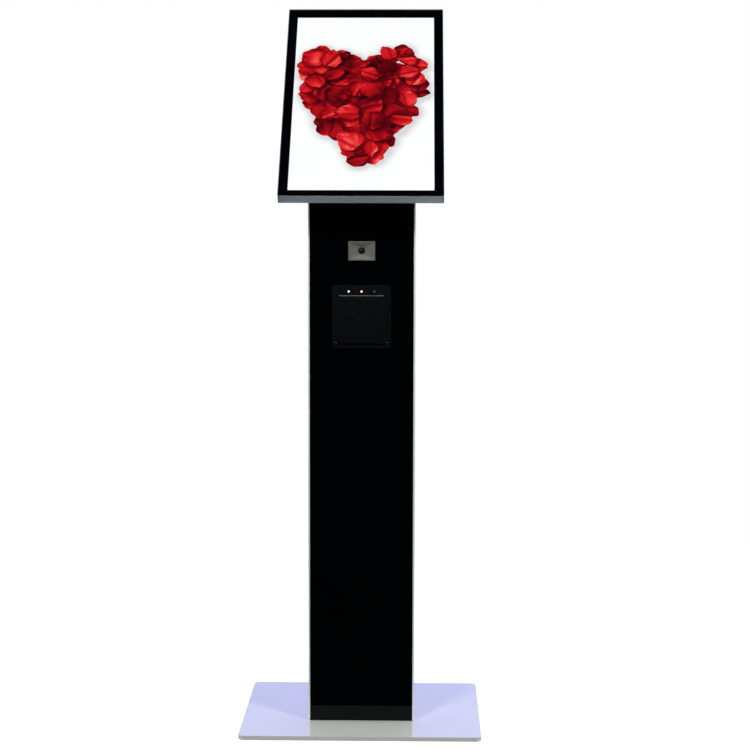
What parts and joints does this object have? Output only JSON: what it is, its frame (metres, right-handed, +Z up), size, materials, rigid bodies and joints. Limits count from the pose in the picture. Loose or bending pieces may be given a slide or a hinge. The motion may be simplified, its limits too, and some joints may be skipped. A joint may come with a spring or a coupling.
{
  "type": "photo booth terminal",
  "caption": "Slim floor-standing photo terminal: steel base, glass-fronted column with camera and panel printer, leaned portrait touch display.",
  "frame": {"origin": "centre of the base plate's underside, on the floor", "axes": "+X to the viewer's right, +Y to the back, +Z up; the screen, camera and printer face -Y"},
  "size_m": [0.45, 0.4136, 1.3659],
  "materials": {
    "white_paint": "gloss white powder coat",
    "white_paint_inside": "satin white powder coat",
    "black_paint": "satin black powder coat",
    "zinc_steel": "zinc plated",
    "stainless": "brushed",
    "chrome_parts": "polished",
    "silver_aluminium": "fine satin anodised",
    "raw_aluminium": "plain",
    "brass_parts": "plain",
    "black_glass": "back-painted black, polished",
    "clear_glass": "polished",
    "lens_glass": "coated",
    "lcd": "lit liquid crystal panel",
    "black_gloss_plastic": "moulded, gloss",
    "black_plastic": "moulded, matt",
    "grey_plastic": "moulded",
    "button_plastic": "moulded",
    "red_plastic": "moulded",
    "gear_plastic": "acetal",
    "black_rubber": "moulded",
    "cable_sheath": "extruded PVC",
    "foam_tape": "foam",
    "thermal_paper": "smooth",
    "core_card": "plain",
    "ceramic_head": "glazed",
    "board_green": "solder mask",
    "lamp_green": "lit clear lens",
    "lamp_orange": "lit clear lens"
  },
  "bodies": {
    "cabinet": {"base_plate": "white_paint", "base_fasteners": "zinc_steel", "column_foot": "white_paint", "column_shell": "white_paint", "front_glass": "black_glass", "glass_tape": "foam_tape", "head_mount_plate": "white_paint", "head_fasteners": "zinc_steel", "cable_grommet": "black_rubber", "door_frame": "white_paint_inside", "column_hinges": "zinc_steel", "mains_inlet": "black_plastic", "inlet_pins": "brass_parts", "rocker_bezel": "black_plastic", "power_supply": "raw_aluminium", "fan_frame": "black_plastic", "small_screws": "zinc_steel", "printer_bezel": "black_gloss_plastic", "printer_hinge_pin": "stainless", "printer_chassis": "grey_plastic", "printer_clamps": "zinc_steel", "paper_bucket": "grey_plastic", "feed_motor": "stainless", "printer_side_plates": "stainless", "print_head": "ceramic_head", "head_heatsink": "raw_aluminium", "tear_bar": "stainless", "power_lamp": "lamp_green", "paper_lamp": "lamp_orange", "small_boards": "board_green", "camera_plate": "stainless", "camera_barrel": "black_plastic", "camera_lens": "lens_glass", "camera_bracket": "zinc_steel", "head_frame": "silver_aluminium", "touch_glass": "clear_glass", "screen_border": "foam_tape", "display_panel": "lcd", "panel_brackets": "zinc_steel", "head_back_plate": "black_paint", "head_housing": "black_paint", "mainboard": "board_green", "speakers": "black_plastic", "internal_cables": "cable_sheath"},
    "service_door": {"service_door": "white_paint", "door_hinge_leaves": "zinc_steel", "lock_body": "chrome_parts"},
    "lock": {"lock_plug": "chrome_parts", "lock_cam": "zinc_steel"},
    "power_rocker": {"power_rocker": "red_plastic"},
    "fan_rotor": {"fan_rotor": "black_plastic"},
    "printer_door": {"printer_door": "black_gloss_plastic"},
    "platen": {"platen_roller": "black_rubber", "platen_shaft": "stainless", "platen_gear": "gear_plastic"},
    "paper": {"paper_roll": "thermal_paper", "paper_core": "core_card"},
    "idler": {"idler_gear": "gear_plastic"},
    "pinion": {"motor_pinion": "brass_parts"},
    "feed_button": {"feed_button": "button_plastic"}
  },
  "joints": [
    {"name": "service_door_hinge", "type": "hinge", "parent": "cabinet", "child": "service_door", "pos_m": [0.082, 0.095, 0.49], "axis": [0, 0, -1], "range_deg": [0, 110]},
    {"name": "lock_turn", "type": "hinge", "parent": "service_door", "child": "lock", "pos_m": [-0.056, 0.09, 0.49], "axis": [0, -1, 0], "range_deg": [0, 90]},
    {"name": "power_rocker_tilt", "type": "hinge", "parent": "cabinet", "child": "power_rocker", "pos_m": [0.034, 0.089, 0.045], "axis": [-1, 0, 0], "range_deg": [0, 16]},
    {"name": "fan_spin", "type": "hinge", "parent": "cabinet", "child": "fan_rotor", "pos_m": [0, 0.075, 1], "axis": [0, 1, 0], "continuous": true},
    {"name": "printer_door_hinge", "type": "hinge", "parent": "cabinet", "child": "printer_door", "pos_m": [0, -0.0925, 0.7285], "axis": [1, 0, 0], "range_deg": [0, 80]},
    {"name": "platen_spin", "type": "hinge", "parent": "printer_door", "child": "platen", "pos_m": [0, -0.084, 0.806], "axis": [1, 0, 0], "continuous": true},
    {"name": "paper_roll_spin", "type": "hinge", "parent": "cabinet", "child": "paper", "pos_m": [0, -0.048, 0.757], "axis": [1, 0, 0], "continuous": true},
    {"name": "idler_spin", "type": "hinge", "parent": "cabinet", "child": "idler", "pos_m": [0.0448, -0.06731, 0.80412], "axis": [1, 0, 0], "continuous": true},
    {"name": "pinion_spin", "type": "hinge", "parent": "cabinet", "child": "pinion", "pos_m": [0.0448, -0.053, 0.8025], "axis": [1, 0, 0], "continuous": true},
    {"name": "feed_button_press", "type": "slide", "parent": "cabinet", "child": "feed_button", "axis": [0, 1, 0], "range_m": [0, 0.0006], "stiffness_N_per_m": 400}
  ],
  "couplings": [
    {"joint": "platen_spin", "follows": "paper_roll_spin", "ratio": -5},
    {"joint": "idler_spin", "follows": "paper_roll_spin", "ratio": 3.75},
    {"joint": "pinion_spin", "follows": "paper_roll_spin", "ratio": -7.5}
  ]
}
